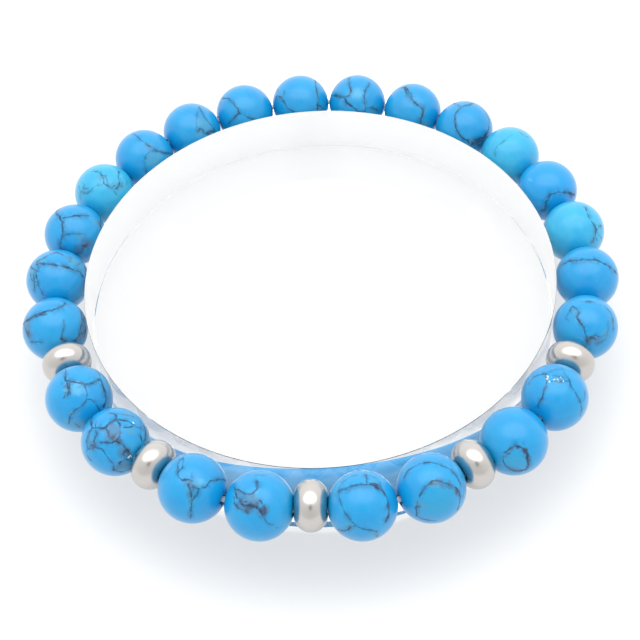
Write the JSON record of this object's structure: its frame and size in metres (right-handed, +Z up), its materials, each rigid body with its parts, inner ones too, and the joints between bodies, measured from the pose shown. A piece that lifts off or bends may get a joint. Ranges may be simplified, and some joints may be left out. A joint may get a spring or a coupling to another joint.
{
  "type": "beaded stretch bracelet on a clear display disc",
  "caption": "Stretch bracelet of round blue stone beads and barrel-shaped metal spacers, held open round a plain clear display disc that stands on a flat surface.",
  "frame": {"origin": "centre of the display disc's flat underside, on the surface it stands on", "axes": "+Z up along the disc's axis, -Y towards the middle metal spacer at the bracelet's front, +X to the right as seen from the front"},
  "size_m": [0.0756, 0.0749, 0.0148],
  "materials": {
    "turquoise_stone": "polished, with dark brown and blue-black matrix veins",
    "satin_steel": "satin, warm grey",
    "clear_elastic": "translucent, smooth",
    "clear_acrylic": "polished clear acrylic"
  },
  "bodies": {
    "root": {"bead_01": "turquoise_stone", "bead_02": "turquoise_stone", "bead_03": "turquoise_stone", "bead_04": "turquoise_stone", "bead_05": "turquoise_stone", "bead_06": "turquoise_stone", "bead_07": "turquoise_stone", "bead_08": "turquoise_stone", "bead_09": "turquoise_stone", "bead_10": "turquoise_stone", "bead_11": "turquoise_stone", "bead_12": "turquoise_stone", "bead_13": "turquoise_stone", "bead_14": "turquoise_stone", "bead_15": "turquoise_stone", "bead_16": "turquoise_stone", "bead_17": "turquoise_stone", "bead_18": "turquoise_stone", "bead_19": "turquoise_stone", "bead_20": "turquoise_stone", "bead_21": "turquoise_stone", "bead_22": "turquoise_stone", "bead_23": "turquoise_stone", "bead_24": "turquoise_stone", "spacer_1": "satin_steel", "spacer_2": "satin_steel", "spacer_3": "satin_steel", "spacer_4": "satin_steel", "spacer_5": "satin_steel", "elastic_cord": "clear_elastic", "display_disc": "clear_acrylic"}
  },
  "joints": []
}
